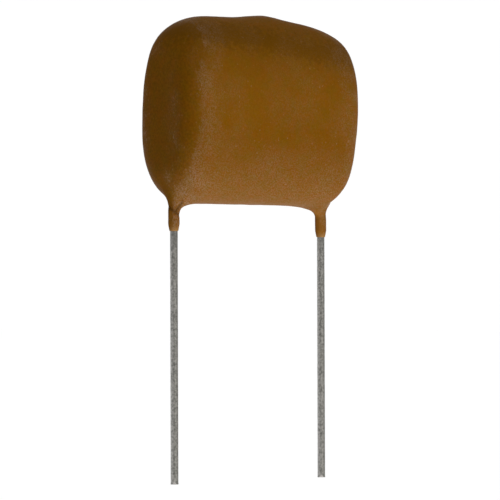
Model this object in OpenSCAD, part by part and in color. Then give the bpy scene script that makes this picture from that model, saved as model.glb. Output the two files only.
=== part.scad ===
// Dipped film capacitor with two straight wire leads.
// +X runs from the left lead to the right lead, -Y is the front broad face and +Z points away from the
// circuit board. The origin is midway between the leads on the board's surface, where the coat's longer
// run-down ends. The leads pass down through the board.

/* [Leads] */
// Spacing of the two leads, centre to centre
lead_pitch = 15; // [14:0.5:16]
// Diameter of the tinned wire
lead_d = 0.6; // [0.5:0.05:0.7]
// Length of each lead below the board's surface
lead_length = 19.2; // [4:0.1:28]
// Bevel at the cut end of each lead
lead_bevel = 0.08; // [0.02:0.01:0.15]
// Height of wire that is welded against the end of the winding
weld_height = 8.5; // [5:0.5:11]
// Length of the pressed flat that keys each wire in its run-down
key_length = 0.7; // [0.6:0.05:1]
// Thickness of the wire at its pressed flat
key_t = 0.36; // [0.3:0.02:0.38]
// Width that the pressing adds to the wire there
key_spread = 0.16; // [0.1:0.02:0.18]

/* [Winding] */
// Thickness of the pressed roll of film
winding_t = 6; // [5.4:0.1:6.4]
// Height of the pressed roll of film
winding_h = 12; // [11:0.1:13]
// Thickness of the sprayed metal on each end of the roll
spray_t = 0.6; // [0.4:0.05:0.8]
// Margin of bare film round the sprayed metal
spray_margin = 0.15; // [0.05:0.05:0.4]
// Depth to which each lead sinks into the sprayed metal
lead_sink = 0.25; // [0.1:0.05:0.35]

/* [Coat] */
// Epoxy over each broad face
coat_side = 0.9; // [0.7:0.05:1.3]
// Epoxy under the roll of film
coat_under = 1; // [0.7:0.05:1.4]
// Epoxy over the roll of film, where the last of the dip collected
coat_over = 1.65; // [1.4:0.05:2.2]
// How far the coat reaches past the middle of the left lead
coat_past_left = 1.1; // [1.05:0.01:1.5]
// How far the coat reaches past the middle of the right lead
coat_past_right = 1.45; // [1.1:0.01:1.8]
// How far the coat lies to the front of the leads
coat_forward = 0.15; // [0:0.05:0.3]
// Height of the body's underside above the board
standoff = 2.55; // [2:0.05:3.2]
// Radius of the upright edges
edge_r = 1.9; // [1.4:0.1:2.4]
// Height of the straight band round the waist
waist_band = 0.8; // [0.4:0.1:2]
// Fullness of the sections, where 2 is an ellipse and more is squarer
fullness = 2.6; // [2.2:0.1:3.2]

/* [Coat ends] */
// Length over which the top rounds off at the left end
top_left_run = 3.9; // [2:0.1:5]
// Drop of the top at the left end
top_left_drop = 3.3; // [2:0.1:4]
// Length over which the top rounds off at the right end
top_right_run = 7; // [4:0.1:8]
// Drop of the top at the right end
top_right_drop = 2.45; // [1.5:0.05:3]
// Length over which the underside rounds off at the left end
under_left_run = 2.7; // [2:0.1:4]
// Rise of the underside at the left end
under_left_rise = 3; // [2:0.1:4]
// Length over which the underside rounds off at the right end
under_right_run = 2.3; // [1.6:0.1:4]
// Rise of the underside at the right end
under_right_rise = 6.2; // [3:0.1:6.3]

/* [Drip] */
// Height of the hardened drip on the ridge
drip_height = 0.3; // [0:0.05:0.6]
// Place of the drip, to the right of the middle
drip_x = 0.7; // [-3:0.1:3]
// Half width of the drip
drip_width = 1.9; // [1:0.1:3]
// Fall of the ridge and the underside towards the right, for each millimetre
ridge_fall = 0.012; // [0:0.002:0.03]

/* [Run-downs] */
// Thickness of the epoxy that ran down each lead
neck_coat = 0.145; // [0.12:0.005:0.25]
// Thickness of the epoxy where it ends on the wire
neck_lip = 0.05; // [0.03:0.01:0.1]
// Height above the board at which the left run-down ends
left_neck_z = 0.48; // [0:0.02:0.8]
// Length over which the left run-down thins out
left_taper = 0.6; // [0.2:0.02:0.8]
// Length over which the right run-down thins out
right_taper = 0.95; // [0.2:0.05:1]
// Width of the left run-down's flare towards the middle of the body
left_flare = 1.5; // [0.4:0.05:2]
// Width of the right run-down's flare towards the middle of the body
right_flare = 1.9; // [0.4:0.05:2.4]
// Greatest width of both flares towards the ends of the body
outer_flare = 0.9; // [0.2:0.05:0.9]
// Height of the left flare
left_flare_height = 1.1; // [0.4:0.05:1.3]
// Height of the right flare
right_flare_height = 0.95; // [0.4:0.05:1.3]

/* [Hidden] */
$fn = 64;

LEFT = -1;
RIGHT = 1;

lead_r = lead_d / 2;
neck_r = lead_r + neck_coat;
spray_face_x = lead_pitch / 2 - lead_r + lead_sink;
winding_length = 2 * (spray_face_x - spray_t);
winding_z = standoff + coat_under;
waist_z = winding_z + winding_h / 2;
ridge_z = winding_z + winding_h + coat_over;
coat_half_t = winding_t / 2 + coat_side;

// Number of steps along each stretch of the outline, and of rows from a lead or the crown to the outline
side_steps = 9;
corner_steps = 8;
end_steps = 8;
middle_steps = 16;
taper_rows = 4;
flare_rows = 6;
under_rows = 13;
crown_rows = 14;
outline_steps = 2 * (side_steps + corner_steps) + end_steps + middle_steps;
// Least width of underside left between a flare and the outline
flare_land = 0.08;

function coat_reach(side) = lead_pitch / 2 + (side == LEFT ? coat_past_left : coat_past_right);
function side_of(x) = x < 0 ? LEFT : RIGHT;
function end_gap(x) = max(0, coat_reach(side_of(x)) - abs(x));

// From 1 at an end to 0 where the rounding stops, along a quarter of an ellipse
function rounding(gap, run) = gap >= run ? 0 : 1 - sqrt(1 - pow(1 - gap / run, 2));

function top_rounding(x) =
    side_of(x) == LEFT
        ? top_left_drop * rounding(end_gap(x), top_left_run)
        : top_right_drop * rounding(end_gap(x), top_right_run);

function under_rounding(x) =
    side_of(x) == LEFT
        ? under_left_rise * rounding(end_gap(x), under_left_run)
        : under_right_rise * rounding(end_gap(x), under_right_run);

function drip(x) = drip_height * exp(-pow((x - drip_x) / drip_width, 2));

// Height of the ridge and of the underside's lowest line at a place along the body
function crest(x) = ridge_z - ridge_fall * x + drip(x) - top_rounding(x);
function keel(x) = standoff - ridge_fall * x + under_rounding(x);

// How far the section at x has closed in at y, from 1 on the body's middle plane to 0 at its surface
function half_thickness(x) = coat_half_t - edge_r * rounding(end_gap(x), edge_r);
function closing(x, y) =
    pow(max(0, 1 - pow(abs(y + coat_forward) / half_thickness(x), fullness)), 1 / fullness);

function upper_z(x, y) =
    waist_z + waist_band / 2 + (crest(x) - waist_z - waist_band / 2) * closing(x, y);
function lower_z(x, y) =
    waist_z - waist_band / 2 - (waist_z - waist_band / 2 - keel(x)) * closing(x, y);

// Plan outline of one half of the coat: front, corner, end, corner, back, then the middle line
function outline_point(side, x, y) = [side * x, y - coat_forward];
function half_outline(side) =
    let (
        straight_x = coat_reach(side) - edge_r,
        straight_y = coat_half_t - edge_r
    )
    concat(
        [for (i = [0 : side_steps - 1])
            outline_point(side, straight_x * i / side_steps, -coat_half_t)],
        [for (i = [0 : corner_steps - 1]) let (a = 90 * i / corner_steps)
            outline_point(side, straight_x + edge_r * sin(a), -straight_y - edge_r * cos(a))],
        [for (i = [0 : end_steps - 1])
            outline_point(side, coat_reach(side), -straight_y * cos(180 * i / end_steps))],
        [for (i = [0 : corner_steps - 1]) let (a = 90 * i / corner_steps)
            outline_point(side, straight_x + edge_r * cos(a), straight_y + edge_r * sin(a))],
        [for (i = [0 : side_steps - 1])
            outline_point(side, straight_x * (1 - i / side_steps), coat_half_t)],
        [for (i = [0 : middle_steps - 1])
            outline_point(side, 0, coat_half_t * cos(180 * i / middle_steps))]
    );

function neck_end_z(side) = side == LEFT ? left_neck_z : 0;
function neck_taper(side) = side == LEFT ? left_taper : right_taper;
function inner_flare(side) = side == LEFT ? left_flare : right_flare;
function flare_rise(side) = side == LEFT ? left_flare_height : right_flare_height;

// Width of a flare in one direction, widest towards the middle of the body
function flare_width(side, way, reach) =
    let (inwards = (1 - side * way[0]) / 2)
    min(reach - neck_r - flare_land, outer_flare + (inner_flare(side) - outer_flare) * inwards);

function neck_point(lead, way, r, z) = [lead[0] + r * way[0], lead[1] + r * way[1], z];
function under_point(lead, way, r, drop) =
    let (p = lead + r * way)
    [p[0], p[1], lower_z(p[0], p[1]) - drop];

// Rows of points from the end of a run-down, up its neck and flare and out over the underside
function under_side(side) =
    let (
        lead = [side * lead_pitch / 2, 0],
        outline = half_outline(side),
        lip_r = lead_r + neck_lip,
        start_z = neck_end_z(side),
        taper = neck_taper(side)
    )
    concat(
        [for (row = [0 : taper_rows], p = outline)
            let (way = (p - lead) / norm(p - lead), a = 90 * row / taper_rows)
            neck_point(lead, way, lip_r + (neck_r - lip_r) * sin(a), start_z + taper * (1 - cos(a)))],
        [for (row = [0 : flare_rows], p = outline)
            let (
                reach = norm(p - lead),
                way = (p - lead) / reach,
                a = 90 * row / flare_rows,
                r = neck_r + flare_width(side, way, reach) * (1 - cos(a))
            )
            under_point(lead, way, r, flare_rise(side) * (1 - sin(a)))],
        [for (row = [1 : under_rows], p = outline)
            let (
                reach = norm(p - lead),
                way = (p - lead) / reach,
                start_r = neck_r + flare_width(side, way, reach)
            )
            under_point(lead, way, start_r + (reach - start_r) * sin(90 * row / under_rows), 0)]
    );

// Rows of points from the outline up over the crown, then the crown's middle point
function upper_side(side) =
    let (crown = [side * coat_reach(side) / 2, -coat_forward])
    concat(
        [for (row = [0 : crown_rows - 1], p = half_outline(side))
            let (q = crown + (p - crown) * cos(90 * row / crown_rows))
            [q[0], q[1], upper_z(q[0], q[1])]],
        [[crown[0], crown[1], upper_z(crown[0], crown[1])]]
    );

function faced(side, triangle) = side == LEFT ? triangle : [triangle[0], triangle[2], triangle[1]];
function next_step(i) = (i + 1) % outline_steps;

// Two triangles in each cell between neighbouring rows, apart from the cells left open
function row_faces(side, first, rows, open_row) =
    [for (row = [0 : rows - 2], i = [0 : outline_steps - 1], half = [0, 1])
        if (row != open_row || i < outline_steps - middle_steps)
            let (
                a = first + row * outline_steps + i,
                b = first + row * outline_steps + next_step(i),
                c = b + outline_steps,
                d = a + outline_steps
            )
            faced(side, half == 0 ? [a, b, c] : [a, c, d])];

function half_faces(side, first) =
    let (
        under_count = taper_rows + flare_rows + under_rows + 2,
        rows = under_count + crown_rows,
        top_row = first + (rows - 1) * outline_steps,
        crown = first + rows * outline_steps
    )
    concat(
        row_faces(side, first, rows, under_count - 1),
        [for (i = [0 : outline_steps - 1]) faced(side, [top_row + i, top_row + next_step(i), crown])],
        [for (i = [1 : outline_steps - 2]) faced(side, [first, first + i + 1, first + i])]
    );

// The dipped body with its two run-downs, as one closed skin
module coat_skin() {
    left = concat(under_side(LEFT), upper_side(LEFT));
    right = concat(under_side(RIGHT), upper_side(RIGHT));
    polyhedron(
        points = concat(left, right),
        faces = concat(half_faces(LEFT, 0), half_faces(RIGHT, len(left))),
        convexity = 6
    );
}

// Section of the pressed roll: two straight sides between two half rounds
module pressed_oval(thickness, height) {
    square([thickness, height - thickness], center = true);
    for (end = [-1, 1]) {
        translate([0, end * (height - thickness) / 2]) circle(d = thickness);
    }
}

// A slab of that section, standing on end with its length along X
module pressed_roll(start_x, length, thickness, height) {
    translate([start_x, 0, waist_z])
        rotate([90, 0, 90])
            linear_extrude(length) pressed_oval(thickness, height);
}

// Section of the wire's pressed flat: two shallow arcs that meet at its thin edges
module key_section() {
    half_width = lead_r + key_spread / 2;
    arc_r = key_t / 4 + half_width * half_width / key_t;
    intersection() {
        translate([0, arc_r - key_t / 2]) circle(arc_r);
        translate([0, key_t / 2 - arc_r]) circle(arc_r);
    }
}

// Round wire, bevelled at its cut end, with its pressed flat where the run-down is at its full thickness
module lead_wire(side) {
    key_z = neck_end_z(side) + neck_taper(side);
    weld_z = winding_z + weld_height;
    translate([side * lead_pitch / 2, 0, 0]) {
        rotate_extrude()
            polygon([
                [0, -lead_length],
                [lead_r - lead_bevel, -lead_length],
                [lead_r, -lead_length + lead_bevel],
                [lead_r, key_z],
                [0, key_z]
            ]);
        translate([0, 0, key_z]) linear_extrude(key_length) key_section();
        translate([0, 0, key_z + key_length]) cylinder(h = weld_z - key_z - key_length, r = lead_r);
    }
}

module end_spray(side) {
    start_x = side == LEFT ? -spray_face_x : spray_face_x - spray_t;
    difference() {
        pressed_roll(start_x, spray_t, winding_t - 2 * spray_margin, winding_h - 2 * spray_margin);
        lead_wire(side);
    }
}

module film_winding() {
    color("gainsboro")
        pressed_roll(-winding_length / 2, winding_length, winding_t, winding_h);
}

module end_spray_left() {
    color("darkgray") end_spray(LEFT);
}

module end_spray_right() {
    color("darkgray") end_spray(RIGHT);
}

module lead_left() {
    color("silver") lead_wire(LEFT);
}

module lead_right() {
    color("silver") lead_wire(RIGHT);
}

// Epoxy coat, which fills everything between its skin and the pieces inside it
module coating() {
    color([0.48, 0.31, 0.08])
        difference() {
            coat_skin();
            pressed_roll(-winding_length / 2, winding_length, winding_t, winding_h);
            for (side = [LEFT, RIGHT]) {
                end_spray(side);
                lead_wire(side);
            }
        }
}

coating();
film_winding();
end_spray_left();
end_spray_right();
lead_left();
lead_right();
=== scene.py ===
# Looks of a dipped film capacitor: an epoxy coat with two run-downs, tinned leads and its pressed roll.
# Everything is in metres and in the CAD model's frame: leads along -Z, front broad face towards -Y.
import math

import bpy
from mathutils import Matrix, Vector


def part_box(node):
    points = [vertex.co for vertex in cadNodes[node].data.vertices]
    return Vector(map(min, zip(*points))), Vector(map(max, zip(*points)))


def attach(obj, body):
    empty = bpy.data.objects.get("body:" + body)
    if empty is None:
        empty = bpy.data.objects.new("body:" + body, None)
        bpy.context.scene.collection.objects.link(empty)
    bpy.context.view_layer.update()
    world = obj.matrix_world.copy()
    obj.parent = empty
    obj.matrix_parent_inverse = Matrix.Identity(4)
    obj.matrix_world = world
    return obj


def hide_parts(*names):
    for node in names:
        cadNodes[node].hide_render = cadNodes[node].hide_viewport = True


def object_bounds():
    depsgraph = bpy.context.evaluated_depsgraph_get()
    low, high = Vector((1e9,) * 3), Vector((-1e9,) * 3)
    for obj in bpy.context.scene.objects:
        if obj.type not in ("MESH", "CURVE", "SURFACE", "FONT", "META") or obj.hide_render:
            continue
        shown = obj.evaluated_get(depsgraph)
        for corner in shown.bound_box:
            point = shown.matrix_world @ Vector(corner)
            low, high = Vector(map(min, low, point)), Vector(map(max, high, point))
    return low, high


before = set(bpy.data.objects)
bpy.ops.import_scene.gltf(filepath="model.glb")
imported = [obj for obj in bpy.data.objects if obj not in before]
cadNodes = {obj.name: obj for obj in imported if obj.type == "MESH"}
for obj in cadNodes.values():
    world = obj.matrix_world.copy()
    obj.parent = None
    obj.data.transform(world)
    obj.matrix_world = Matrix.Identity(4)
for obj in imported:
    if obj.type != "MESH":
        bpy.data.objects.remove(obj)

cadLow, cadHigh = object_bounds()
mm = 0.001
weldDistance = 0.0001 * mm  # how close to a cut a corner counts as on it


def linearColour(hexCode):
    channels = [int(hexCode[i:i + 2], 16) / 255 for i in (1, 3, 5)]
    return tuple(c / 12.92 if c <= 0.04045 else ((c + 0.055) / 1.055) ** 2.4 for c in channels) + (1.0,)


def addNode(owner, kind, settings=None, inputs=()):
    # Inputs go in by name or number, or as a list in the node's own order
    tree = owner.node_tree
    node = tree.nodes.new(kind)
    for name, value in (settings or {}).items():
        setattr(node, name, value)
    for socket, value in inputs.items() if isinstance(inputs, dict) else enumerate(inputs):
        if isinstance(value, bpy.types.NodeSocket):
            tree.links.new(value, node.inputs[socket])
        else:
            node.inputs[socket].default_value = value
    return node


def newMaterial(name):
    material = bpy.data.materials.new(name)
    material.use_nodes = True
    material.node_tree.nodes.clear()
    return material


def deselectAll():
    if bpy.context.mode != "OBJECT":
        bpy.ops.object.mode_set(mode="OBJECT")
    bpy.ops.object.select_all(action="DESELECT")


def activate(piece):
    deselectAll()
    piece.select_set(True)
    bpy.context.view_layer.objects.active = piece


def selectParts(piece, domain, wanted):
    # Selects the vertices, edges or faces that pass the test, and stays in edit mode
    bpy.ops.object.mode_set(mode="OBJECT")
    mesh = piece.data
    for part in (*mesh.vertices, *mesh.edges, *mesh.polygons):
        part.select = False
    for part in getattr(mesh, domain):
        part.select = bool(wanted(part))
    bpy.ops.object.mode_set(mode="EDIT")
    bpy.ops.mesh.select_mode(type={"vertices": "VERT", "edges": "EDGE", "polygons": "FACE"}[domain])


def addModifier(piece, kind, **settings):
    modifier = piece.modifiers.new(kind.title(), kind)
    for name, value in settings.items():
        setattr(modifier, name, value)
    return modifier


def applyModifiers(piece):
    activate(piece)
    for modifier in list(piece.modifiers):
        bpy.ops.object.modifier_apply(modifier=modifier.name)


def cutAcross(piece, axis, places):
    # Cuts the whole piece with a plane at each place along one axis: 0 for X, 1 for Y and 2 for Z
    activate(piece)
    bpy.ops.object.mode_set(mode="EDIT")
    for place in places:
        bpy.ops.mesh.select_all(action="SELECT")
        at, normal = [0.0, 0.0, 0.0], [0.0, 0.0, 0.0]
        at[axis], normal[axis] = place, 1.0
        bpy.ops.mesh.bisect(plane_co=at, plane_no=normal, threshold=weldDistance)
    bpy.ops.object.mode_set(mode="OBJECT")


def evenly(start, end, step):
    # Places between two ends, about a step apart
    count = max(1, round(abs(end - start) / step))
    return [start + (end - start) * i / count for i in range(1, count)]


def weighVertices(piece, name, weight):
    # Returns the group's name, which Blender numbers where the piece already has one of that name
    group = piece.vertex_groups.new(name=name)
    for vertex in piece.data.vertices:
        group.add([vertex.index], min(1.0, max(0.0, weight(vertex.co))), "REPLACE")
    return group.name


def settle(piece, slot, *replacedNodes):
    # Leaves the object at the origin with its place in its mesh, and ties it to the CAD frame
    activate(piece)
    bpy.ops.object.transform_apply(location=True, rotation=True, scale=True)
    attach(piece, "root")
    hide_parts(*replacedNodes)


# Places taken from the CAD model
def axisOf(node):
    low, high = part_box(node)
    return Vector(((low.x + high.x) / 2, (low.y + high.y) / 2, 0))


def skinHeight(x, y):
    # Height at which a line from below first meets the coat
    place = cadNodes["coating"].ray_cast(Vector((x, y, cadLow.z)), Vector((0, 0, 1)))[1]
    return place.z


leadAxes = {name: axisOf(name) for name in ("lead_left", "lead_right")}
leadTip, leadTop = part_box("lead_left")[0].z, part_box("lead_left")[1].z
coatLow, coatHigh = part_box("coating")
wireRadius = (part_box("lead_left")[1].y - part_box("lead_left")[0].y) / 2
lipWidth = 0.05 * mm  # how far the end of each run-down stands out from the wire
underside = skinHeight(0, 0)
lipHeights = {
    name: skinHeight(axis.x + wireRadius + lipWidth / 2, axis.y) for name, axis in leadAxes.items()
}
print("stage: frame read", round(wireRadius / mm, 3), round(underside / mm, 3), lipHeights)

# Epoxy coat
coat = {
    "cell": 1.0 * mm,  # cage cells, which the subdivisions bring down to an eighth
    "neckCell": 0.8 * mm,  # cells next to each lead, so that a neck starts from a ring of eight edges
    # Rings down a neck. The upper ones: share of the way from the underside to the end, and radius
    "flareRings": ((0.3, 0.52 * mm), (0.45, 0.46 * mm)),
    # The lower ones, where the resin thins out: height above the end, and radius
    "endRings": (
        (0.95 * mm, 0.465 * mm), (0.6 * mm, 0.455 * mm), (0.38 * mm, 0.42 * mm), (0.18 * mm, 0.38 * mm),
        (0.04 * mm, 0.355 * mm), (0.0, 0.335 * mm),
    ),
    "ringShrink": 0.902,  # subdivision draws a ring of eight edges in to this share of its radius
    "wraps": 3,  # times that the cage is drawn on to the CAD's coat and evened out
    "wrapSmoothing": 4,
    "levels": 3,
    "neckDepth": 0.1 * mm,  # how far below the underside the necks begin
    "smoothing": 36,
    "neckSmoothing": 0.12,  # share of the smoothing that a neck gets, so that its flare stays tight
    "flareReach": (1.2 * mm, 3.6 * mm),  # distances from a neck's root between which it rises to the whole
    # Resin at the right neck's root, in mm: place from the root, radius of its ring, reach and thickness
    "gathered": (
        ((0.35, 0, 0.02), 0.5, 0.42, 0.12),  # a ring
        ((-1.7, 0, 0), 0, 1.5, 0.1),  # a sag beside it
        ((0.6, -0.5, 0.16), 0, 0.4, 0.32),  # a lump in its outer corner
        ((0.4, -0.33, -0.5), 0, 0.4, -0.07),  # and two hollows that it drained from
        ((-0.7, 0.56, -0.4), 0, 0.4, -0.12),
    ),
    # A ring and a spot where the skin is then evened out: place and radius as above, reach and repeats
    "evened": (((0, 0, -0.15), 0.7, 0.85, 34), ((0.52, -0.43, 0.05), 0, 0.65, 90)),
    "fitFrom": (0.5 * mm, 0.9 * mm),  # heights above a neck's end between which the CAD's form takes over
}


def extrudeNeck(piece, axis, endHeight):
    cell = coat["neckCell"]
    root = Vector((axis.x, axis.y, underside))
    looksDown = math.cos(math.radians(25))
    selectParts(
        piece, "polygons", lambda face: -face.normal.z > looksDown and (face.center - root).length < cell
    )
    # To Sphere takes the mean distance of the four corners, the four middles of sides and the centre
    level, radius = underside, cell * (4 * math.sqrt(2) + 4) / 9
    rings = [(underside + (endHeight - underside) * share, wanted) for share, wanted in coat["flareRings"]]
    rings += [(endHeight + above, wanted) for above, wanted in coat["endRings"]]
    for number, (height, wanted) in enumerate(rings):
        bpy.ops.mesh.extrude_region_move(TRANSFORM_OT_translate={"value": (0, 0, height - level)})
        if number == 0:
            bpy.ops.transform.tosphere(value=1)
        scale = wanted / coat["ringShrink"] / radius
        bpy.ops.transform.resize(value=(scale, scale, 1), center_override=(axis.x, axis.y, height))
        level, radius = height, radius * scale
    bpy.ops.object.mode_set(mode="OBJECT")


def neckAt(place):
    # The name of the lead whose neck holds this place, or None on the body
    for name, axis in leadAxes.items():
        if place.z < underside - coat["neckDepth"] and (place.xy - axis.xy).length < 2 * coat["neckCell"]:
            return name
    return None


def ramp(value, limits):
    # 0 at the first limit, 1 at the second and straight between them
    return min(1.0, max(0.0, (value - limits[0]) / (limits[1] - limits[0])))


def bell(offset, width):
    return math.exp(-(offset / width) ** 2)


def offRing(place, offset, radius):
    # Distance in mm from a level ring round a place near the root of the right neck
    root = leadAxes["lead_right"] + Vector((0, 0, underside)) + Vector(offset) * mm
    off = (place - root) / mm
    return math.hypot(off.xy.length - radius, off.z)


def gatheredAt(place):
    return sum(
        thickness * bell(offRing(place, offset, radius), reach)
        for offset, radius, reach, thickness in coat["gathered"]
    )


def wrap(piece, group):
    addModifier(
        piece, "SHRINKWRAP", target=cadNodes["coating"], vertex_group=group,
        wrap_method="NEAREST_SURFACEPOINT",
    )


def reshape(piece, name, amount):
    # Moves the skin out by an amount in mm that a function gives, 1 at most, and in where it is less than 0
    for way in (1, -1):
        group = weighVertices(piece, name, lambda place: way * amount(place))
        addModifier(piece, "DISPLACE", strength=way * mm, mid_level=0, vertex_group=group)


def modelCoat():
    deselectAll()
    low, high = Vector((coatLow.x, coatLow.y, underside)), coatHigh
    bpy.ops.mesh.primitive_cube_add(size=1, location=(low + high) / 2, scale=high - low)
    piece = bpy.context.active_object
    piece.name = piece.data.name = "dipped_coat"
    activate(piece)
    bpy.ops.object.transform_apply(location=True, rotation=True, scale=True)

    neck, cell = coat["neckCell"], coat["cell"]
    left, right = leadAxes["lead_left"].x, leadAxes["lead_right"].x
    nearLeads = [left - neck, left, left + neck, right - neck, right, right + neck]
    cutAcross(piece, 0, nearLeads + evenly(left + neck, right - neck, cell))
    cutAcross(piece, 1, [-neck, 0.0, neck] + evenly(low.y, -neck, cell) + evenly(neck, high.y, cell))
    cutAcross(piece, 2, evenly(low.z, high.z, cell))
    for name, axis in leadAxes.items():
        extrudeNeck(piece, axis, lipHeights[name])

    # The box is drawn on to the dipped skin and evened out, a few times over, with the necks left alone
    body = weighVertices(piece, "body", lambda place: 0 if neckAt(place) else 1)
    for turn in range(coat["wraps"]):
        wrap(piece, body)
        addModifier(piece, "SMOOTH", factor=0.5, iterations=coat["wrapSmoothing"], vertex_group=body)
        applyModifiers(piece)
    wrap(piece, body)
    addModifier(piece, "SUBSURF", levels=coat["levels"], render_levels=coat["levels"])
    applyModifiers(piece)
    piece.vertex_groups.clear()

    # The fine skin goes on to the CAD's form, apart from the very ends of the necks
    def fitted(place):
        name = neckAt(place)
        return 1 if name is None else ramp(place.z - lipHeights[name], coat["fitFrom"])

    def softened(place):
        roots = [Vector((axis.x, axis.y, underside)) for axis in leadAxes.values()]
        away = min((place - root).length for root in roots)
        share = coat["neckSmoothing"]
        return share if neckAt(place) else share + (1 - share) * ramp(away, coat["flareReach"])

    wrap(piece, weighVertices(piece, "fitted", fitted))
    reshape(piece, "gathered", gatheredAt)
    group = weighVertices(piece, "softened", softened)
    addModifier(piece, "SMOOTH", factor=0.5, iterations=coat["smoothing"], vertex_group=group)
    for offset, radius, reach, iterations in coat["evened"]:
        group = weighVertices(piece, "evened", lambda place: bell(offRing(place, offset, radius), reach))
        addModifier(piece, "SMOOTH", factor=0.5, iterations=iterations, vertex_group=group)
    applyModifiers(piece)
    activate(piece)
    bpy.ops.object.shade_smooth()
    return piece


coatPiece = modelCoat()


# Shapes that the dip and the cure left on the coat, and the marks that its material shows: paler places,
# painted light and painted shade
flaws = {
    "uneven": 0.05 * mm,  # how far the skin swells and sinks
    "unevenOnNecks": 0.35,  # share of it that the necks have
    "unevenScale": 3.2 * mm,
    "ripple": 0.02 * mm,  # finer orange-peel ripple on top of it
    "rippleScale": 0.9 * mm,
    # Folds on the left neck, where the resin sagged as it set, looked at square on to their front:
    # height on the lead's axis, rise for each step to the right, and how far left and right they reach
    "creases": ((2.05 * mm, -0.75, (-0.5 * mm, 0.55 * mm)), (1.85 * mm, 1.29, (0.1 * mm, 0.75 * mm))),
    "neckFacing": math.radians(39.5),  # which way that front faces, from -Y towards -X
    "creaseReach": (0.6 * mm, 1.6 * mm),  # how far above the underside and out from the axis they may go
    "creaseDepth": 0.03,  # in mm
    "creaseWidth": 0.12 * mm,
    # Hardened drops and dust grains, in mm: place, radius and height
    "drops": (
        ((-8.3, -2.1, 3.6), 0.13, 0.05), ((-7.75, -3.0, 3.65), 0.12, 0.05), ((-7.2, -3.4, 3.2), 0.1, 0.05),
        ((-3.4, -3.9, 12.2), 0.1, 0.05), ((2.6, -4.0, 6.1), 0.1, 0.05), ((6.9, -3.4, 12.9), 0.1, 0.05),
        ((-1.2, 3.7, 8.4), 0.12, 0.05), ((5.1, 3.6, 5.2), 0.1, 0.05),
        # And broad low beads, two along the ridge and one in the corner over the right neck
        ((1.45, -0.1, 17.4), 0.75, 0.075), ((-3.7, -0.1, 17.2), 2.4, 0.05), ((8.0, -0.42, 2.76), 0.3, 0.07),
    ),
    # Where the left end (-1) and the right end (1) belly out or dip in, in mm: height, reach and how far
    "swells": (
        (-1, 7.0, 3.2, 0.065), (-1, 13.4, 2.0, -0.06),
        (1, 11.2, 2.6, 0.075), (1, 7.3, 1.1, -0.07), (1, 4.2, 1.3, 0.1),
    ),
    "swellFrom": (5 * mm, 8 * mm),  # distances from the middle between which they set in
    "lipHighlight": (0.4 * mm, 0.02 * mm),  # heights above a neck's end between which it turns pale: a painted highlight where the end turns down to the light below
    "thin": {"lead_left": 0.05, "lead_right": 0.4},  # how thin the resin is on the rest of each neck
    "thinFrom": (0.3 * mm, 1.0 * mm),  # depths below the underside between which it gets so
    "thinLean": 0.3,  # painted light: how much paler it is on the left of a neck, and darker on its right
    # Places on the left that are paler, in mm: middle, reach each way and share of the dust colour
    "paledPlaces": (
        ((-8.55, -1.3, 9.8), (1.5, 0.9, 2.8), 0.02), ((-7.9, 0.8, 14.6), (1.5, 0.9, 0.5), 0.03),
        ((-8.3, 2.7, 8.0), (1.0, 0.8, 3.5), 0.07), ((-8.3, -1.9, 7.2), (0.8, 0.8, 1.4), 0.02),
        ((-7.9, -0.5, 4.8), (0.8, 0.7, 0.6), 0.05), ((-7.4, -1.8, 4.1), (1.2, 1.2, 1.2), 0.015),
        ((-7.1, -0.9, 2.4), (0.4, 0.4, 0.35), 0.06),
    ),
}


def addCloudDisplace(piece, name, size, strength, group=""):
    texture = bpy.data.textures.new(name, "CLOUDS")
    texture.noise_scale = size
    addModifier(
        piece, "DISPLACE", texture=texture, texture_coords="LOCAL",
        strength=strength, mid_level=0.5, vertex_group=group,
    )


def acrossNeck(off):
    # How far to the right of its axis a place on a neck lies
    return off.x * math.cos(flaws["neckFacing"]) - off.y * math.sin(flaws["neckFacing"])


def creaseAt(place):
    off = place - leadAxes["lead_left"]
    above, out = flaws["creaseReach"]
    if place.z > underside + above or off.xy.length > out:
        return 0
    across = acrossNeck(off)
    depths = [0]
    for height, rise, (start, end) in flaws["creases"]:
        if start < across < end:
            slant = math.sqrt(1 + rise * rise)
            depths.append(bell((place.z - height - rise * across) / slant, flaws["creaseWidth"]))
    return max(depths)


def dropAt(place):
    return sum(
        height * bell((place - Vector(middle) * mm).length, radius * mm)
        for middle, radius, height in flaws["drops"]
    )


def swellAt(place):
    return sum(
        far * ramp(end * place.x, flaws["swellFrom"]) * bell(place.z / mm - height, reach)
        for end, height, reach, far in flaws["swells"]
    )


def thinAt(place):
    name = neckAt(place)
    if name is None:
        return 0
    # Painted light: paler on the left of each neck, and darker on its right
    lean = flaws["thinLean"] * acrossNeck(place - leadAxes[name]) / (wireRadius + lipWidth)
    return max(0, flaws["thin"][name] - lean) * ramp(underside - place.z, flaws["thinFrom"])


# Painted highlight: the end of each neck turns pale
def lipHighlightAt(place):
    name = neckAt(place)
    return ramp(place.z - lipHeights[name], flaws["lipHighlight"]) if name else 0


def paledAt(place):
    return sum(
        share * math.prod(bell(place[i] / mm - middle[i], reach[i]) for i in range(3))
        for middle, reach, share in flaws["paledPlaces"]
    )


def keepShade(piece, name, weight):
    # Stores a number for each vertex, which a material reads to shade that place
    shade = piece.data.attributes.new(name, "FLOAT", "POINT")
    for vertex in piece.data.vertices:
        shade.data[vertex.index].value = weight(vertex.co)


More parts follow.
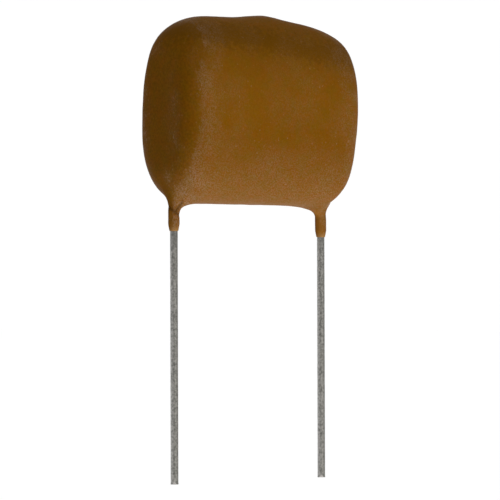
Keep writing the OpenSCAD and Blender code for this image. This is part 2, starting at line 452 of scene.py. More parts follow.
def addFlaws(piece):
    # Marks for the material: painted shade in the folds, paler thin resin with painted light on the necks, a
    # painted highlight at their ends, and paler places
    keepShade(piece, "creaseShade", creaseAt)
    keepShade(piece, "thin", thinAt)
    keepShade(piece, "lipHighlight", lipHighlightAt)
    keepShade(piece, "paled", paledAt)
    body = weighVertices(piece, "body", lambda place: flaws["unevenOnNecks"] if neckAt(place) else 1)
    addCloudDisplace(piece, "uneven dip", flaws["unevenScale"], flaws["uneven"], body)
    addCloudDisplace(piece, "ripple", flaws["rippleScale"], flaws["ripple"], body)
    reshape(piece, "creases", lambda place: -flaws["creaseDepth"] * creaseAt(place))
    reshape(piece, "drops", dropAt)
    reshape(piece, "swells", swellAt)
    applyModifiers(piece)
    piece.vertex_groups.clear()


addFlaws(coatPiece)
settle(coatPiece, "epoxy_coat", "coating")
print("stage: coat", len(coatPiece.data.polygons))

# Tinned wire leads
lead = {
    "sides": 32,
    "cell": 0.35 * mm,
    "lumps": 0.012 * mm,  # uneven tin
    "lumpScale": 0.7 * mm,
    "flatLength": 0.7 * mm,  # pressed flat that keys the wire in the coat
    "flatThickness": 0.36 * mm,
    "flatWidth": 0.76 * mm,
    "flatRun": 0.06 * mm,  # short runs over which the round wire goes into its flat
    "flatHeights": {"lead_left": 1.08 * mm, "lead_right": 0.95 * mm},
    "plainEnd": (0.4 * mm, 0.9 * mm),  # heights above the tip between which the lumps set in
    "burr": 1.05,  # how far the cutter spread the tip
    "burrHeight": 0.14 * mm,
    "cutTurn": {"lead_left": -42, "lead_right": -40},  # degrees from -Y that the cutter's blades faced
    "cutHeight": 0.22 * mm,  # how far up each blade slid on the wire
    "cutDepth": 0.04 * mm,
    "rim": 0.014 * mm,  # rounding of the cut edges, which are those sharper than the next angle
    "rimAngle": math.radians(50),
    "shadeAngle": math.radians(30),
}


def cutTip(piece, name):
    # A burr, then two small sloping faces where the blades closed on the wire
    axis = leadAxes[name]
    selectParts(piece, "vertices", lambda vertex: vertex.co.z < leadTip + lead["burrHeight"] / 2)
    bpy.ops.transform.resize(
        value=(lead["burr"], lead["burr"], 1), center_override=(axis.x, axis.y, leadTip)
    )
    slopes = []
    for side in (0, 180):
        turn = math.radians(lead["cutTurn"][name] + side)
        way = Vector((math.sin(turn), -math.cos(turn), 0))
        at = axis + way * (wireRadius - lead["cutDepth"]) + Vector((0, 0, leadTip))
        slopes.append((way * lead["cutHeight"] - Vector((0, 0, lead["cutDepth"]))).normalized())
        bpy.ops.mesh.select_all(action="SELECT")
        bpy.ops.mesh.bisect(
            plane_co=at, plane_no=slopes[-1], clear_outer=True, use_fill=True, threshold=weldDistance
        )
    bpy.ops.object.mode_set(mode="OBJECT")
    addModifier(
        piece, "BEVEL", width=lead["rim"], segments=2, limit_method="ANGLE", angle_limit=lead["rimAngle"]
    )
    applyModifiers(piece)
    onSlope = math.cos(math.radians(1.8))
    for face in piece.data.polygons:
        isCut = max(face.normal.dot(slope) for slope in slopes) > onSlope
        if isCut and face.center.z < leadTip + lead["cutHeight"]:
            face.material_index = 1  # the bare metal, which paint adds after the tin


def modelLead(name):
    axis = leadAxes[name]
    deselectAll()
    bpy.ops.mesh.primitive_cylinder_add(
        vertices=lead["sides"], radius=wireRadius, depth=leadTop - leadTip, end_fill_type="NGON",
        location=(axis.x, axis.y, (leadTop + leadTip) / 2),
    )
    piece = bpy.context.active_object
    piece.name = piece.data.name = "tinned_" + name
    activate(piece)
    bpy.ops.object.transform_apply(location=True, rotation=True, scale=True)
    cell, flatStart, run = lead["cell"], lead["flatHeights"][name], lead["flatRun"]
    flatEnd = flatStart + lead["flatLength"]
    cutAcross(piece, 2, [leadTip + lead["burrHeight"], flatStart, flatStart + run, flatEnd - run, flatEnd])
    cutAcross(piece, 2, evenly(leadTip, flatStart, cell) + evenly(flatEnd, leadTop, 2 * cell))

    # The pressed flat
    selectParts(piece, "vertices", lambda vertex: flatStart + run / 2 < vertex.co.z < flatEnd - run / 2)
    bpy.ops.transform.resize(
        value=(lead["flatWidth"] / 2 / wireRadius, lead["flatThickness"] / 2 / wireRadius, 1),
        center_override=(axis.x, axis.y, flatStart),
    )
    bpy.ops.object.mode_set(mode="OBJECT")

    def bare(place):
        return ramp(place.z - leadTip, lead["plainEnd"]) if place.z < flatStart else 0

    bareGroup = weighVertices(piece, "bare", bare)
    addCloudDisplace(piece, "uneven tin", lead["lumpScale"], lead["lumps"], bareGroup)
    applyModifiers(piece)
    piece.vertex_groups.clear()
    cutTip(piece, name)
    activate(piece)
    bpy.ops.object.shade_smooth_by_angle(angle=lead["shadeAngle"])
    settle(piece, "tinned_wire", name)
    return piece


leadPieces = [modelLead(name) for name in leadAxes]
print("stage: leads", [len(piece.data.polygons) for piece in leadPieces])
midNoise = (0.3, 0.7)  # most values of a noise pattern lie between these

# Epoxy resin, dipped and cured: an opaque ochre brown, satin, dusty in places, with painted shade and
# painted sheen on it
epoxy = {
    "colour": "#835305",
    "deepColour": "#774900",
    # The ridge colour is painted shade along the top
    "ridgeShadeColour": "#6F4600",
    "grainAndShadeColour": "#3E2604",
    "oliveColour": "#6C5A08",
    "redColour": "#8C4B0C",
    "dustAndSheenColour": "#CDBCAC",
    # Colours of the marks kept on the skin, and how far a full mark goes to its colour: paler thin resin
    # with painted light, a painted highlight and painted shade
    "marks": {"thin": ("#A8702E", 0.9), "lipHighlight": ("#A27A4A", 0.8), "creaseShade": ("#3E2604", 0.6)},
    "specular": 0.012,  # fine orange peel and dust leave next to no sheen
    "roughness": (0.42, 0.56),
    "bump": 0.012 * mm,
    "bumpStrength": 0.6,
    # Noise patterns: size and detail. Dust is finer than grain and speck, drawn coarser so that it shows
    "patterns": {
        "shade": (5 * mm, 3), "patch": (3 * mm, 4), "clump": (1.1 * mm, 2), "hue": (0.7 * mm, 3),
        "mottle": (0.3 * mm, 3), "grain": (0.1 * mm, 1), "speck": (0.17 * mm, 0),
    },
    "patternRoughness": 0.55,
    # Resin. Each range named ...From holds the pattern's values between which it goes from none to all
    "lowShade": 0.8,  # painted shade: a little deeper in colour low down, under the painted reflection there
    "lowShadeHeights": (9.5 * mm, 6 * mm),
    "hue": 0.16,  # how far it leans to olive or to red from place to place
    "hueFrom": (0.36, 0.64),
    "grainAndEndShade": (0.09, 0.216),  # share of dark grains on the broad faces and on the end faces, where the extra is painted shade
    "pigmentFrom": (0.62, 0.3),
    "endShadeTurned": (0.5, 0.9),  # how squarely a face looks sideways where the end faces' share sets in
    "ridgeFall": 0.12,  # painted shade: the darker band along the ridge lies lower to the right
    "ridgeShadeFoot": (13.7 * mm, 14.9 * mm),  # heights between which that band sets in
    "ridgeShadeHead": (16.8 * mm, 15.4 * mm),  # and between which it fades again
    "ridgeShadeRagged": 3.4 * mm,
    # Dust, a thin haze in patches, and painted sheen: a paler band towards the underside, a painted
    # reflection, and one along the rounded upright edges, a painted highlight
    "haze": (0.005, 0.023),
    "hazeFrom": (0.4, 0.66),
    "hazeOnEnds": 0.1,  # share of it that the two end faces have
    "hazeTurned": (0.7, 0.94),
    "underSheen": 0.05,
    "underSheenHeight": 7.5 * mm,  # where that painted reflection starts on its way down to the underside
    "underSheenOnNecks": 0.35,  # share of it that the necks have
    "neckStart": 1 * mm,  # depth below the underside at which they have it
    "sheenOnEdges": 0.036,
    "edgeInside": (5.7 * mm, 7.7 * mm),  # distances from the middle at which the edges' painted highlight sets in
    "edgeOutside": (8.05 * mm, 7.86 * mm),  # and at which it is gone again
    "edgeRagged": 1.2 * mm,
    # The edge leans in towards the ridge and out towards the underside: heights, and how far
    "edgeLean": ((12.8 * mm, 15.4 * mm, 0.9 * mm), (9 * mm, 5 * mm, -0.5 * mm)),
    "clumps": ((0.36, 0.62), (0.25, 1.6)),  # range of the pattern, and of what multiplies the dust
    "grains": ((0.38, 0.66), (0.2, 2)),
    "specks": 0.09,  # share of dust in a speck
    "speckFrom": (0.75, 0.84),
    "speckClumps": (0.4, 0.6),
    "specksWherePaled": 3,
}


def colourResin(material, axes, turned, patterns):
    # Two near tones with an uneven hue and dark grains, and painted shade: deeper low down, denser grains on
    # the end faces and a darker band along the ridge
    # Painted shade: deeper in colour low down, towards the underside, though not on the end faces
    kept = addNode(
        material, "ShaderNodeMapRange",
        inputs=[axes.outputs["Z"], *epoxy["lowShadeHeights"], 1, 1 - epoxy["lowShade"]],
    ).outputs[0]
    kept = addNode(material, "ShaderNodeMath", {"operation": "MAXIMUM"}, [kept, turned]).outputs[0]
    light = addNode(
        material, "ShaderNodeMath", {"operation": "MULTIPLY"}, [patterns["shade"], kept]
    ).outputs[0]
    shade = addNode(
        material, "ShaderNodeMix", {"data_type": "RGBA"},
        {0: light, 6: linearColour(epoxy["deepColour"]), 7: linearColour(epoxy["colour"])},
    ).outputs[2]

    hue = addNode(material, "ShaderNodeMapRange", inputs=[patterns["hue"], *epoxy["hueFrom"]]).outputs[0]
    lean = addNode(
        material, "ShaderNodeMix", {"data_type": "RGBA"},
        {0: hue, 6: linearColour(epoxy["oliveColour"]), 7: linearColour(epoxy["redColour"])},
    ).outputs[2]
    shade = addNode(
        material, "ShaderNodeMix", {"data_type": "RGBA"}, {0: epoxy["hue"], 6: shade, 7: lean}
    ).outputs[2]

    # Dark grains, denser on the end faces as painted shade
    strength = addNode(
        material, "ShaderNodeMapRange", inputs=[turned, *epoxy["endShadeTurned"], *epoxy["grainAndEndShade"]]
    ).outputs[0]
    grainAndEndShade = addNode(
        material, "ShaderNodeMapRange", inputs=[patterns["speck"], *epoxy["pigmentFrom"]]
    ).outputs[0]
    grainAndEndShade = addNode(material, "ShaderNodeMath", {"operation": "MULTIPLY"}, [grainAndEndShade, strength]).outputs[0]
    shade = addNode(
        material, "ShaderNodeMix", {"data_type": "RGBA"},
        {0: grainAndEndShade, 6: shade, 7: linearColour(epoxy["grainAndShadeColour"])},
    ).outputs[2]

    # Painted shade: a darker band along the ridge, where the top turns up away from the light below
    level = addNode(
        material, "ShaderNodeMath", {"operation": "MULTIPLY_ADD"},
        [axes.outputs["X"], epoxy["ridgeFall"], axes.outputs["Z"]],
    ).outputs[0]
    level = addNode(
        material, "ShaderNodeMath", {"operation": "MULTIPLY_ADD"},
        [patterns["mottle"], epoxy["ridgeShadeRagged"], level],
    ).outputs[0]
    ridge = 1
    for limits in ("ridgeShadeFoot", "ridgeShadeHead"):
        start, end = (height + epoxy["ridgeShadeRagged"] / 2 for height in epoxy[limits])
        side = addNode(
            material, "ShaderNodeMapRange", {"interpolation_type": "SMOOTHSTEP"}, [level, start, end]
        ).outputs[0]
        ridge = addNode(material, "ShaderNodeMath", {"operation": "MULTIPLY"}, [ridge, side]).outputs[0]
    return addNode(
        material, "ShaderNodeMix", {"data_type": "RGBA"},
        {0: ridge, 6: shade, 7: linearColour(epoxy["ridgeShadeColour"])},
    ).outputs[2]


def paintedEdgeSheen(material, axes, patterns, clumps):
    # Painted highlight: a clumpy pale band along the rounded upright edges, with ragged borders
    middle = (cadLow.x + cadHigh.x) / 2
    aside = addNode(
        material, "ShaderNodeMath", {"operation": "SUBTRACT"}, [axes.outputs["X"], middle]
    ).outputs[0]
    away = addNode(material, "ShaderNodeMath", {"operation": "ABSOLUTE"}, [aside]).outputs[0]
    away = addNode(
        material, "ShaderNodeMath", {"operation": "MULTIPLY_ADD"},
        [patterns["mottle"], epoxy["edgeRagged"], away],
    ).outputs[0]
    for start, end, lean in epoxy["edgeLean"]:
        leaning = addNode(
            material, "ShaderNodeMapRange", inputs=[axes.outputs["Z"], start, end, 0, lean]
        ).outputs[0]
        away = addNode(material, "ShaderNodeMath", {"operation": "ADD"}, [away, leaning]).outputs[0]
    edgeSheen = clumps
    for limits, blend in (("edgeInside", "LINEAR"), ("edgeOutside", "SMOOTHSTEP")):
        start, end = (distance + epoxy["edgeRagged"] / 2 for distance in epoxy[limits])
        side = addNode(
            material, "ShaderNodeMapRange", {"interpolation_type": blend}, [away, start, end]
        ).outputs[0]
        edgeSheen = addNode(material, "ShaderNodeMath", {"operation": "MULTIPLY"}, [edgeSheen, side]).outputs[0]
    return edgeSheen


def shareOfDustAndSheen(material, axes, turned, patterns):
    haze = addNode(
        material, "ShaderNodeMapRange", inputs=[patterns["patch"], *epoxy["hazeFrom"], *epoxy["haze"]]
    ).outputs[0]
    # Painted reflection: paler towards the underside, less so on the necks
    onNecks = addNode(
        material, "ShaderNodeMapRange",
        inputs=[axes.outputs["Z"], underside - epoxy["neckStart"], underside,
                epoxy["underSheenOnNecks"] * epoxy["underSheen"], epoxy["underSheen"]],
    ).outputs[0]
    lowDown = addNode(
        material, "ShaderNodeMapRange", inputs=[axes.outputs["Z"], epoxy["underSheenHeight"], underside]
    ).outputs[0]
    underSheenShare = addNode(material, "ShaderNodeMath", {"operation": "MULTIPLY"}, [lowDown, onNecks]).outputs[0]
    dustAndSheen = addNode(material, "ShaderNodeMath", {"operation": "ADD"}, [haze, underSheenShare]).outputs[0]

    (start, end), (least, most) = epoxy["clumps"]
    clumps = addNode(
        material, "ShaderNodeMapRange", inputs=[patterns["clump"], start, end, least, most]
    ).outputs[0]
    edgeSheen = paintedEdgeSheen(material, axes, patterns, clumps)
    # Painted highlight: the pale band along the rounded upright edges
    dustAndSheen = addNode(
        material, "ShaderNodeMath", {"operation": "MULTIPLY_ADD"}, [edgeSheen, epoxy["sheenOnEdges"], dustAndSheen]
    ).outputs[0]
    onEnds = addNode(
        material, "ShaderNodeMapRange", inputs=[turned, *epoxy["hazeTurned"], 1, epoxy["hazeOnEnds"]]
    ).outputs[0]
    dustAndSheen = addNode(material, "ShaderNodeMath", {"operation": "MULTIPLY"}, [dustAndSheen, onEnds]).outputs[0]

    # The paler places, then the grain of it all, and specks, which lie thicker in the paler places
    paled = addNode(material, "ShaderNodeAttribute", {"attribute_name": "paled"}).outputs["Fac"]
    paled = addNode(material, "ShaderNodeMath", {"operation": "MULTIPLY"}, [paled, clumps]).outputs[0]
    dustAndSheen = addNode(material, "ShaderNodeMath", {"operation": "ADD"}, [paled, dustAndSheen]).outputs[0]
    (start, end), (least, most) = epoxy["grains"]
    grains = addNode(
        material, "ShaderNodeMapRange", inputs=[patterns["grain"], start, end, least, most]
    ).outputs[0]
    dustAndSheen = addNode(material, "ShaderNodeMath", {"operation": "MULTIPLY"}, [dustAndSheen, grains]).outputs[0]
    specks = addNode(
        material, "ShaderNodeMath", {"operation": "MULTIPLY_ADD"},
        [paled, epoxy["specksWherePaled"], patterns["speck"]],
    ).outputs[0]
    specks = addNode(
        material, "ShaderNodeMapRange", inputs=[specks, *epoxy["speckFrom"], 0, epoxy["specks"]]
    ).outputs[0]
    gathered = addNode(
        material, "ShaderNodeMapRange", inputs=[patterns["clump"], *epoxy["speckClumps"]]
    ).outputs[0]
    return addNode(
        material, "ShaderNodeMath", {"operation": "MULTIPLY_ADD"}, [specks, gathered, dustAndSheen]
    ).outputs[0]


def makeEpoxy():
    material = newMaterial("dipped epoxy resin")
    place = addNode(material, "ShaderNodeTexCoord").outputs["Object"]
    axes = addNode(material, "ShaderNodeSeparateXYZ", inputs=[place])
    normal = addNode(material, "ShaderNodeNewGeometry").outputs["Normal"]
    facing = addNode(material, "ShaderNodeSeparateXYZ", inputs=[normal]).outputs["X"]
    turned = addNode(material, "ShaderNodeMath", {"operation": "ABSOLUTE"}, [facing]).outputs[0]
    patterns = {
        name: addNode(
            material, "ShaderNodeTexNoise",
            inputs={"Vector": place, "Scale": 1 / size, "Detail": detail,
                    "Roughness": epoxy["patternRoughness"]},
        ).outputs[0]
        for name, (size, detail) in epoxy["patterns"].items()
    }

    shade = colourResin(material, axes, turned, patterns)
    dustAndSheen = shareOfDustAndSheen(material, axes, turned, patterns)
    colour = addNode(
        material, "ShaderNodeMix", {"data_type": "RGBA"},
        {0: dustAndSheen, 6: shade, 7: linearColour(epoxy["dustAndSheenColour"])},
    ).outputs[2]
    # The marks: paler thin resin with painted light on the necks, a painted highlight at their ends and
    # painted shade in the folds
    for name, (markColour, strength) in epoxy["marks"].items():
        mark = addNode(material, "ShaderNodeAttribute", {"attribute_name": name}).outputs["Fac"]
        share = addNode(material, "ShaderNodeMath", {"operation": "MULTIPLY"}, [mark, strength]).outputs[0]
        colour = addNode(
            material, "ShaderNodeMix", {"data_type": "RGBA"},
            {0: share, 6: colour, 7: linearColour(markColour)},
        ).outputs[2]

    bump = addNode(
        material, "ShaderNodeBump",
        inputs={"Strength": epoxy["bumpStrength"], "Distance": epoxy["bump"], "Height": patterns["grain"]},
    ).outputs[0]
    roughness = addNode(
        material, "ShaderNodeMapRange", inputs=[patterns["patch"], *midNoise, *epoxy["roughness"]]
    ).outputs[0]
    surface = addNode(
        material, "ShaderNodeBsdfPrincipled",
        inputs={"Base Color": colour, "Roughness": roughness, "Normal": bump,
                "Specular IOR Level": epoxy["specular"]},
    )
    addNode(material, "ShaderNodeOutputMaterial", inputs={"Surface": surface.outputs[0]})
    return material


# Tinned copper-clad steel wire, drawn and hot-dipped: dull grey, finely mottled and darker in places, with
# painted light on one side and painted shade on the other
tin = {
    "colour": "#C2C0BD",
    "darkColour": "#7E7E7A",
    "shadedSideTint": "#C9C8C4",  # painted shade: multiplies the colour on the side turned from the light
    "litSideTint": "#FFFFFF",
    "litSide": math.radians(129.5),  # which way the painted lit side faces, from -Y towards -X
    "litSideFrom": (-0.1, 0.85),  # how squarely the skin faces that way where painted shade turns to painted light
    "mottleSize": 0.16 * mm,
    "mottleDetail": 2,
    "lineSize": 0.07 * mm,  # drawing lines along the wire, this wide and many times as long
    "lineStretch": 14,
    "lineShare": 0.25,
    "lightFrom": (0.34, 0.62),  # values of the pattern between which it goes from dark to light
    "tarnish": 0.45,  # share of the dark colour right under the coat, fading out over the next length
    "tarnishHeights": (-1.6 * mm, 0.4 * mm),
    "darkTip": 0.55,  # and darker at the tip, where the cutter closed
    "darkTipHeight": 0.24 * mm,
    "roughness": (0.48, 0.6),
    "bump": 0.008 * mm,
    "bumpStrength": 0.7,
}


def makeTin():
    material = newMaterial("hot-tinned wire")
    place = addNode(material, "ShaderNodeTexCoord").outputs["Object"]
    height = addNode(material, "ShaderNodeSeparateXYZ", inputs=[place]).outputs["Z"]
    mottles = addNode(
        material, "ShaderNodeTexNoise",
        inputs={"Vector": place, "Scale": 1 / tin["mottleSize"], "Detail": tin["mottleDetail"]},
    ).outputs[0]
    drawn = addNode(
        material, "ShaderNodeMapping", inputs={"Vector": place, "Scale": (1, 1, 1 / tin["lineStretch"])}
    ).outputs[0]
    lines = addNode(
        material, "ShaderNodeTexNoise", inputs={"Vector": drawn, "Scale": 1 / tin["lineSize"], "Detail": 1}
    ).outputs[0]
    pattern = addNode(
        material, "ShaderNodeMix", {"data_type": "FLOAT"}, {0: tin["lineShare"], 2: mottles, 3: lines}
    ).outputs[0]
    light = addNode(material, "ShaderNodeMapRange", inputs=[pattern, *tin["lightFrom"]]).outputs[0]
    colour = addNode(
        material, "ShaderNodeMix", {"data_type": "RGBA"},
        {0: light, 6: linearColour(tin["darkColour"]), 7: linearColour(tin["colour"])},
    ).outputs[2]
    for share, (start, end) in (
        (tin["tarnish"], tin["tarnishHeights"]), (tin["darkTip"], (leadTip + tin["darkTipHeight"], leadTip)),
    ):
        stain = addNode(
            material, "ShaderNodeMapRange", {"interpolation_type": "SMOOTHSTEP"},
            [height, start, end, 0, share],
        ).outputs[0]
        colour = addNode(
            material, "ShaderNodeMix", {"data_type": "RGBA"},
            {0: stain, 6: colour, 7: linearColour(tin["darkColour"])},
        ).outputs[2]

    # Painted light and shade: the tin lighter on one side of the wire and darker on the other
    towards = (-math.sin(tin["litSide"]), -math.cos(tin["litSide"]), 0)
    normal = addNode(material, "ShaderNodeNewGeometry").outputs["Normal"]
    facing = addNode(
        material, "ShaderNodeVectorMath", {"operation": "DOT_PRODUCT"}, [normal, towards]
    ).outputs["Value"]
    litShare = addNode(
        material, "ShaderNodeMapRange", {"interpolation_type": "SMOOTHSTEP"}, [facing, *tin["litSideFrom"]]
    ).outputs[0]
    tint = addNode(
        material, "ShaderNodeMix", {"data_type": "RGBA"},
        {0: litShare, 6: linearColour(tin["shadedSideTint"]), 7: linearColour(tin["litSideTint"])},
    ).outputs[2]
    colour = addNode(
        material, "ShaderNodeMix", {"data_type": "RGBA", "blend_type": "MULTIPLY"},
        {0: 1, 6: colour, 7: tint},
    ).outputs[2]

    bump = addNode(
        material, "ShaderNodeBump",
        inputs={"Strength": tin["bumpStrength"], "Distance": tin["bump"], "Height": mottles},
    ).outputs[0]
    roughness = addNode(
        material, "ShaderNodeMapRange", inputs=[mottles, *midNoise, *tin["roughness"]]
    ).outputs[0]
    surface = addNode(
        material, "ShaderNodeBsdfPrincipled",
        inputs={"Base Color": colour, "Metallic": 1.0, "Normal": bump, "Roughness": roughness},
    )
    addNode(material, "ShaderNodeOutputMaterial", inputs={"Surface": surface.outputs[0]})
    return material


# Copper-clad steel, sheared by a cutter: bare and brighter than the tin, with fine lines the way it slid
sheared = {
    "colour": "#B8B4B0",
    "lineColour": "#9A9793",
    "lineSize": 0.03 * mm,
    "lineStretch": 5,
    "roughness": 0.32,
}


def makeSheared():
    material = newMaterial("sheared wire end")
    place = addNode(material, "ShaderNodeTexCoord").outputs["Object"]
    slid = addNode(
        material, "ShaderNodeMapping",
        inputs={"Vector": place, "Scale": (1, 1, 1 / sheared["lineStretch"])},
    ).outputs[0]
    lines = addNode(
        material, "ShaderNodeTexNoise",
        inputs={"Vector": slid, "Scale": 1 / sheared["lineSize"], "Detail": 1},
    ).outputs[0]
    colour = addNode(
        material, "ShaderNodeMix", {"data_type": "RGBA"},
        {0: lines, 6: linearColour(sheared["lineColour"]), 7: linearColour(sheared["colour"])},
    ).outputs[2]
    surface = addNode(
        material, "ShaderNodeBsdfPrincipled",
        inputs={"Base Color": colour, "Metallic": 1.0, "Roughness": sheared["roughness"]},
    )
    addNode(material, "ShaderNodeOutputMaterial", inputs={"Surface": surface.outputs[0]})
    return material


# Metallised polyester film, wound and pressed flat: a silvery sheen with fine lines along each turn
film = {
    "colour": "#C3C7CA",
    "lineColour": "#8E9498",
    "lineSpacing": 0.12 * mm,  # the turns are far finer, and are drawn coarser so that they show
    "lineRun": (1, 0.05, 0.05),  # the pattern's scale each way, which draws it out along the turns
    "wrinkle": 1.4 * mm,
    "wrinkleRun": (1, 0.3, 0.3),
    "wrinkleDetail": 3,
    "metallic": 0.8,
    "roughness": (0.22, 0.38),
    "bump": 0.03 * mm,
    "bumpStrength": 0.5,
}


def makeFilm():
    material = newMaterial("pressed metallised film")
    place = addNode(material, "ShaderNodeTexCoord").outputs["Object"]
    lines, wrinkles = [
        addNode(
            material, "ShaderNodeTexNoise",
            inputs={
                "Vector": addNode(
                    material, "ShaderNodeMapping", inputs={"Vector": place, "Scale": film[run]}
                ).outputs[0],
                "Scale": 1 / film[size],
                "Detail": detail,
            },
        ).outputs[0]
        for run, size, detail in (
            ("lineRun", "lineSpacing", 1), ("wrinkleRun", "wrinkle", film["wrinkleDetail"]),
        )
    ]
    colour = addNode(
        material, "ShaderNodeMix", {"data_type": "RGBA"},
        {0: lines, 6: linearColour(film["lineColour"]), 7: linearColour(film["colour"])},
    ).outputs[2]
    roughness = addNode(
        material, "ShaderNodeMapRange", inputs=[lines, *midNoise, *film["roughness"]]
    ).outputs[0]
    bump = addNode(
        material, "ShaderNodeBump",
        inputs={"Strength": film["bumpStrength"], "Distance": film["bump"], "Height": wrinkles},
    ).outputs[0]
    surface = addNode(
        material, "ShaderNodeBsdfPrincipled",
        inputs={"Base Color": colour, "Metallic": film["metallic"], "Normal": bump, "Roughness": roughness},
    )
    addNode(material, "ShaderNodeOutputMaterial", inputs={"Surface": surface.outputs[0]})
    return material


# Zinc, flame-sprayed on the roll's ends: matt grey and grainy as fine sandpaper
zinc = {
    "colour": "#8F9193",
    "pitColour": "#5C5E60",
    "pitFrom": (0.35, 0.65),
    "grain": 0.16 * mm,
    "grainDetail": 3,
    "grainRoughness": 0.6,
    "metallic": 0.85,
    "roughness": (0.8, 0.6),
    "bump": 0.06 * mm,
}


def makeZinc():
    material = newMaterial("flame-sprayed zinc")
    place = addNode(material, "ShaderNodeTexCoord").outputs["Object"]
    grains = addNode(
        material, "ShaderNodeTexNoise",
        inputs={"Vector": place, "Scale": 1 / zinc["grain"], "Detail": zinc["grainDetail"],
                "Roughness": zinc["grainRoughness"]},
    ).outputs[0]
    raised = addNode(material, "ShaderNodeMapRange", inputs=[grains, *zinc["pitFrom"]]).outputs[0]
    colour = addNode(
        material, "ShaderNodeMix", {"data_type": "RGBA"},
        {0: raised, 6: linearColour(zinc["pitColour"]), 7: linearColour(zinc["colour"])},
    ).outputs[2]
    roughness = addNode(
        material, "ShaderNodeMapRange", inputs=[grains, *midNoise, *zinc["roughness"]]
    ).outputs[0]
    bump = addNode(
        material, "ShaderNodeBump", inputs={"Strength": 1.0, "Distance": zinc["bump"], "Height": grains}
    ).outputs[0]
    surface = addNode(
        material, "ShaderNodeBsdfPrincipled",
        inputs={"Base Color": colour, "Metallic": zinc["metallic"], "Normal": bump, "Roughness": roughness},
    )
    addNode(material, "ShaderNodeOutputMaterial", inputs={"Surface": surface.outputs[0]})
    return material


def paint(piece, *materials):
    for material in materials:
        piece.data.materials.append(material)


def repaint(name, material):
    # A CAD node keeps its mesh, so only the materials in its slots change
    for slot in cadNodes[name].material_slots:
        slot.material = material


paint(coatPiece, makeEpoxy())
wireMaterials = (makeTin(), makeSheared())
for piece in leadPieces:
    paint(piece, *wireMaterials)
repaint("film_winding", makeFilm())
zincMaterial = makeZinc()
for name in ("end_spray_left", "end_spray_right"):
    repaint(name, zincMaterial)
print("stage: materials", [material.name for material in bpy.data.materials])


# Studio: a white table and backdrop in a pale room, with a soft lamp below the front of the table,
# a weak one in front and a faint one behind
studio = {
    "room": 0.48,
    "roomSlope": 0.08,  # how much brighter the room is to the right, and darker to the left
    "tableSize": 4.0,
    "backdropSize": (1.0, 0.7),
    "backdropDistance": 0.6,
    "paperColour": "#E0E0DE",
    "paperGlow": 1.12,  # shown to the camera, in reflections and through glass only
    "glowShare": 0.86,
    "lamps": {
        # place, size and power of each, all aimed at the middle of the body
        "below": ((0.018, -0.14, -0.235), 0.15, 0.73),
        "front": ((0.0, -0.36, 0.01), 0.14, 0.16),
        "rim": ((-0.16, 0.33, 0.0), 0.1, 0.04),
    },
    "tableGap": 0.02 * mm,  # between the tips of the leads and the table
}


def makeGlowingWhite():
    material = newMaterial("white paper")
    path = addNode(material, "ShaderNodeLightPath")
    seen = path.outputs["Is Camera Ray"]
    for name in ("Is Glossy Ray", "Is Transmission Ray"):
        seen = addNode(
            material, "ShaderNodeMath", {"operation": "MAXIMUM"}, [seen, path.outputs[name]]
        ).outputs[0]
    share = addNode(
        material, "ShaderNodeMath", {"operation": "MULTIPLY"}, [seen, studio["glowShare"]]
    ).outputs[0]
    paper = addNode(
        material, "ShaderNodeBsdfDiffuse", inputs={"Color": linearColour(studio["paperColour"])}
    ).outputs[0]
    glow = addNode(material, "ShaderNodeEmission", inputs={"Strength": studio["paperGlow"]}).outputs[0]
    mixed = addNode(material, "ShaderNodeMixShader", inputs=[share, paper, glow])
    addNode(material, "ShaderNodeOutputMaterial", inputs={"Surface": mixed.outputs[0]})
    return material


def setTableAndBackdrop(material, turn):
    deselectAll()
    bpy.ops.mesh.primitive_plane_add(
        size=studio["tableSize"], location=(0, 0, leadTip - studio["tableGap"])
    )
    table = bpy.context.active_object
    table.name = "table"
    table.visible_shadow = False  # translucent, so the lamp below it lights the part through it
    width, height = studio["backdropSize"]
    distance = studio["backdropDistance"]
    bpy.ops.mesh.primitive_plane_add(
        size=1, location=(distance * math.sin(turn), distance * math.cos(turn), leadTip + height / 2),
        rotation=(math.radians(90), 0, -turn),
    )
    backdrop = bpy.context.active_object
    backdrop.name = "backdrop"
    backdrop.scale = (width, height, 1)
    for piece in (table, backdrop):
        paint(piece, material)


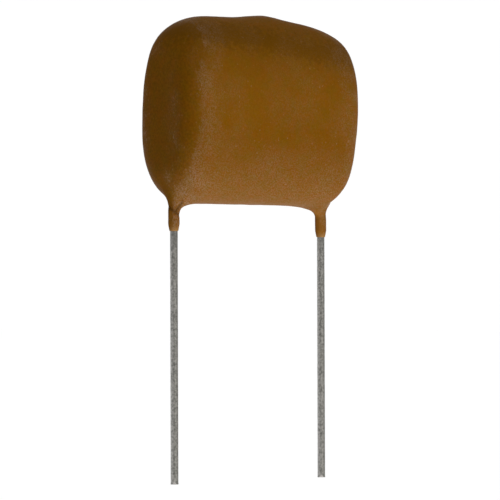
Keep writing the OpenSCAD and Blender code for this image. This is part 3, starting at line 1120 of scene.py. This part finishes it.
def addLamp(name, place, size, power):
    light = bpy.data.lights.new(name, "AREA")
    light.shape = "SQUARE"
    light.size = size
    light.energy = power
    lamp = bpy.data.objects.new(name, light)
    bpy.context.scene.collection.objects.link(lamp)
    lamp.location = place
    aim = Vector((0, 0, (coatLow.z + coatHigh.z) / 2)) - Vector(place)
    lamp.rotation_euler = aim.to_track_quat("-Z", "Y").to_euler()


def dimRoom():
    world = bpy.data.worlds.new("room")
    bpy.context.scene.world = world
    world.use_nodes = True
    world.node_tree.nodes.clear()
    # In a world's nodes, Generated is the direction of the ray
    way = addNode(world, "ShaderNodeTexCoord").outputs["Generated"]
    across = addNode(world, "ShaderNodeSeparateXYZ", inputs=[way]).outputs["X"]
    darkest, brightest = studio["room"] - studio["roomSlope"], studio["room"] + studio["roomSlope"]
    level = addNode(world, "ShaderNodeMapRange", inputs=[across, -1, 1, darkest, brightest]).outputs[0]
    sky = addNode(world, "ShaderNodeBackground", inputs={"Color": (1, 1, 1, 1), "Strength": level})
    addNode(world, "ShaderNodeOutputWorld", inputs={"Surface": sky.outputs[0]})


# Camera, level with the middle of the part and round to its left
view = {
    "turn": 39.5,  # degrees from the front
    "roll": 0.16,
    "distance": 0.323,
    "lens": 294.8,  # on a sensor of 36, in the camera's own mm
    "sensor": 36,
    "near": 0.01,  # what is nearer to the camera than this isn't drawn
    "sideways": 0.126 * mm,
    "height": -1.0 * mm,
}


def placeCamera():
    turn = math.radians(view["turn"])
    forward = Vector((math.sin(turn), math.cos(turn), 0))
    sideways = Vector((math.cos(turn), -math.sin(turn), 0))
    data = bpy.data.cameras.new("camera")
    data.lens = view["lens"]
    data.sensor_width = view["sensor"]
    data.clip_start = view["near"]
    camera = bpy.data.objects.new("camera", data)
    bpy.context.scene.collection.objects.link(camera)
    level = Vector((0, 0, view["height"]))
    camera.location = level + sideways * view["sideways"] - forward * view["distance"]
    camera.rotation_euler = (math.radians(90), math.radians(view["roll"]), -turn)
    bpy.context.scene.camera = camera


dimRoom()
setTableAndBackdrop(makeGlowingWhite(), math.radians(view["turn"]))
for name, (place, size, power) in studio["lamps"].items():
    addLamp(name, place, size, power)
placeCamera()
bpy.context.scene.view_settings.view_transform = "Standard"

print("stage: scene ready")
